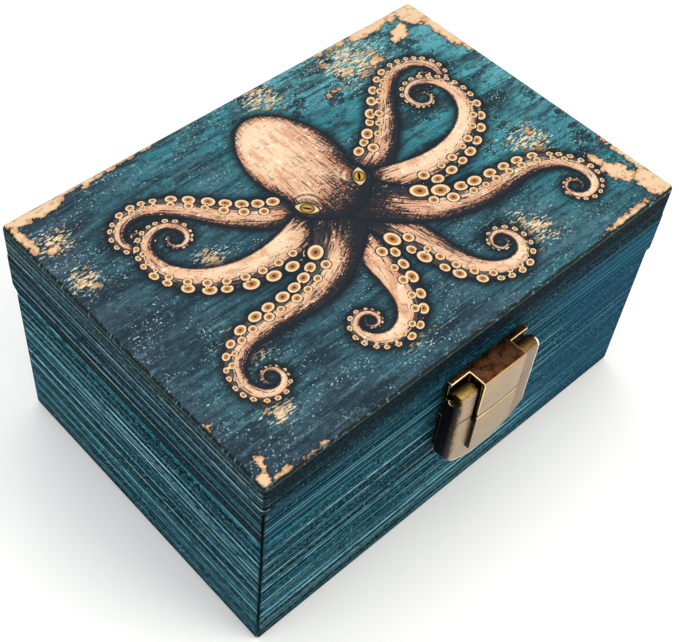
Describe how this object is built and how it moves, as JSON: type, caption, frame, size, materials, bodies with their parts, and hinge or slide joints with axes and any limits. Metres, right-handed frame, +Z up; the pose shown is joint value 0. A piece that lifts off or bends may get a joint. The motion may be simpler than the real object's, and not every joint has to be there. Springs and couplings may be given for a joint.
{
  "type": "trinket box",
  "caption": "Rectangular mitred wooden trinket box with a hinged lid, a flat octopus picture on the lid and a hinged bronze lever latch on the front.",
  "frame": {"origin": "centre of the underside, on the bottom panel", "axes": "+X along the long front face to the right, the front face with the latch towards -Y, +Z up"},
  "size_m": [0.16, 0.1192, 0.084],
  "materials": {
    "stained_pine": "satin",
    "painted_top": "satin",
    "plywood": "matte",
    "antique_bronze": "satin",
    "brass": "satin"
  },
  "bodies": {
    "box": {"body_front": "stained_pine", "body_right": "stained_pine", "body_back": "stained_pine", "body_left": "stained_pine", "bottom_panel": "plywood", "hinge_left_body_leaf": "antique_bronze", "hinge_left_pin": "brass", "hinge_left_body_screw_1": "brass", "hinge_left_body_screw_2": "brass", "hinge_right_body_leaf": "antique_bronze", "hinge_right_pin": "brass", "hinge_right_body_screw_1": "brass", "hinge_right_body_screw_2": "brass", "latch_body_plate": "antique_bronze", "latch_body_nail_left": "brass", "latch_body_nail_right": "brass"},
    "lid": {"lid_front": "stained_pine", "lid_right": "stained_pine", "lid_back": "stained_pine", "lid_left": "stained_pine", "lid_top_board": "painted_top", "hinge_left_lid_leaf": "antique_bronze", "hinge_left_lid_screw_1": "brass", "hinge_left_lid_screw_2": "brass", "hinge_right_lid_leaf": "antique_bronze", "hinge_right_lid_screw_1": "brass", "hinge_right_lid_screw_2": "brass", "latch_lid_plate": "antique_bronze", "latch_lid_nail_left": "brass", "latch_lid_nail_right": "brass", "latch_pin": "brass"},
    "lever": {"latch_lever": "antique_bronze"}
  },
  "joints": [
    {"name": "lid_hinge", "type": "hinge", "parent": "box", "child": "lid", "pos_m": [0, 0.0529, 0.0566], "axis": [-1, 0, 0], "range_deg": [0, 103]},
    {"name": "lever_hinge", "type": "hinge", "parent": "lid", "child": "lever", "pos_m": [0, -0.0599, 0.0666], "axis": [-1, 0, 0], "range_deg": [0, 120]}
  ]
}
